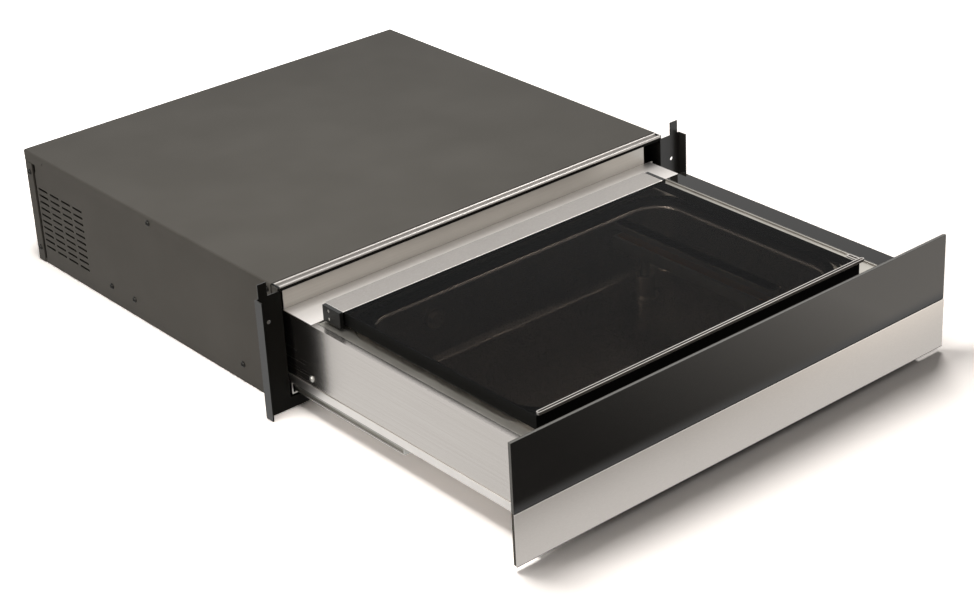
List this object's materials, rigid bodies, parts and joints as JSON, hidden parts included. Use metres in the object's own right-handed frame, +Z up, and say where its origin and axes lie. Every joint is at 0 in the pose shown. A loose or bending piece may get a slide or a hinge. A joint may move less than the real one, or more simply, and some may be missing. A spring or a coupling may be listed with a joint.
{
  "type": "vacuum sealing drawer",
  "caption": "Built-in vacuum sealing drawer with a glass-lidded deep-drawn chamber, on telescopic runners in a flat steel casing, shown pulled out.",
  "frame": {"origin": "middle of the casing's underside, in the plane of the cabinet's front edges that the brackets' plates lie on", "axes": "+X to the right along the front as the user sees it, +Y into the cabinet, +Z up; the front panel faces -Y"},
  "size_m": [0.596, 0.9115, 0.152],
  "materials": {
    "casing_paint": "charcoal satin powder coat on sheet steel",
    "black_paint": "black satin powder coat",
    "stainless": "brushed stainless sheet",
    "drawn_steel": "deep-drawn stainless, satin",
    "zinc_steel": "zinc-plated steel",
    "trim_aluminium": "satin anodised extrusion",
    "cast_aluminium": "bead-blasted casting",
    "front_glass": "black back-printed glass, polished",
    "lid_glass": "smoked toughened glass, polished",
    "black_plastic": "moulded black polyamide",
    "light_plastic": "moulded acetal, natural",
    "circuit_board": "green solder resist on glass-fibre board",
    "rubber": "black moulded rubber",
    "silicone": "dark grey silicone",
    "pale_silicone": "grey silicone",
    "motor_paint": "grey enamelled laminations",
    "sintered_bronze": "sintered bronze",
    "heating_tape": "brown glass-fibre tape over a flat heating wire"
  },
  "bodies": {
    "casing": {"casing_floor": "casing_paint", "casing_side_left": "casing_paint", "casing_side_right": "casing_paint", "top_cover": "casing_paint", "back_panel": "casing_paint", "front_header": "black_paint", "front_sill": "black_paint", "bracket_left": "black_paint", "bracket_right": "black_paint", "top_trim": "trim_aluminium", "trim_end_caps": "black_plastic", "outer_rail_left": "zinc_steel", "outer_rail_right": "zinc_steel", "casing_screws": "black_paint", "latch_housing": "black_plastic", "cord_gland": "black_plastic"},
    "mid_rails": {"mid_rail_left": "zinc_steel", "mid_rail_right": "zinc_steel"},
    "latch": {"latch_plunger": "light_plastic"},
    "drawer": {"drawer_base": "stainless", "drawer_side_left": "stainless", "drawer_side_right": "stainless", "drawer_back": "zinc_steel", "bulkhead": "zinc_steel", "front_carrier": "casing_paint", "front_glass": "front_glass", "front_strip": "stainless", "deck_plate": "stainless", "bay_cover": "stainless", "chamber_tub": "drawn_steel", "control_panel": "front_glass", "control_board": "circuit_board", "inner_rail_left": "zinc_steel", "inner_rail_right": "zinc_steel", "latch_striker": "zinc_steel", "hinge_brackets": "zinc_steel", "hinge_shaft": "zinc_steel", "bar_cylinders": "drawn_steel", "chamber_ports": "drawn_steel", "hoses": "rubber", "vacuum_pump": "cast_aluminium", "pump_motor": "motor_paint", "pump_cradle": "zinc_steel", "pump_mounts": "rubber", "exhaust_silencer": "sintered_bronze", "vent_valve": "black_plastic", "transformer": "motor_paint", "power_board": "circuit_board", "fan_frame": "black_plastic", "drawer_screws": "zinc_steel"},
    "fan": {"fan_rotor": "black_plastic"},
    "bar": {"sealing_bar": "cast_aluminium", "heating_strip": "heating_tape"},
    "lid": {"lid_glass": "lid_glass", "lid_seal": "silicone", "pressure_bar": "pale_silicone", "lid_rail": "black_paint", "hinge_cover": "stainless", "hinge_end_caps": "black_plastic", "grip_profile": "trim_aluminium"}
  },
  "joints": [
    {"name": "drawer_slide", "type": "slide", "parent": "casing", "child": "drawer", "axis": [0, -1, 0], "range_m": [-0.377, 0]},
    {"name": "mid_rail_slide", "type": "slide", "parent": "casing", "child": "mid_rails", "axis": [0, -1, 0], "range_m": [-0.1885, 0]},
    {"name": "lid_hinge", "type": "hinge", "parent": "drawer", "child": "lid", "pos_m": [0, -0.049, 0.118], "axis": [-1, 0, 0], "range_deg": [0, 80]},
    {"name": "bar_lift", "type": "slide", "parent": "drawer", "child": "bar", "axis": [0, 0, 1], "range_m": [0, 0.005]},
    {"name": "latch_push", "type": "slide", "parent": "casing", "child": "latch", "axis": [0, 1, 0], "range_m": [0, 0.006], "stiffness_N_per_m": 400, "springref_m": -0.004},
    {"name": "fan_spin", "type": "hinge", "parent": "drawer", "child": "fan", "pos_m": [-0.246, 0.064, 0.073], "axis": [1, 0, 0], "continuous": true}
  ],
  "couplings": [
    {"joint": "mid_rail_slide", "follows": "drawer_slide", "ratio": 0.5}
  ]
}
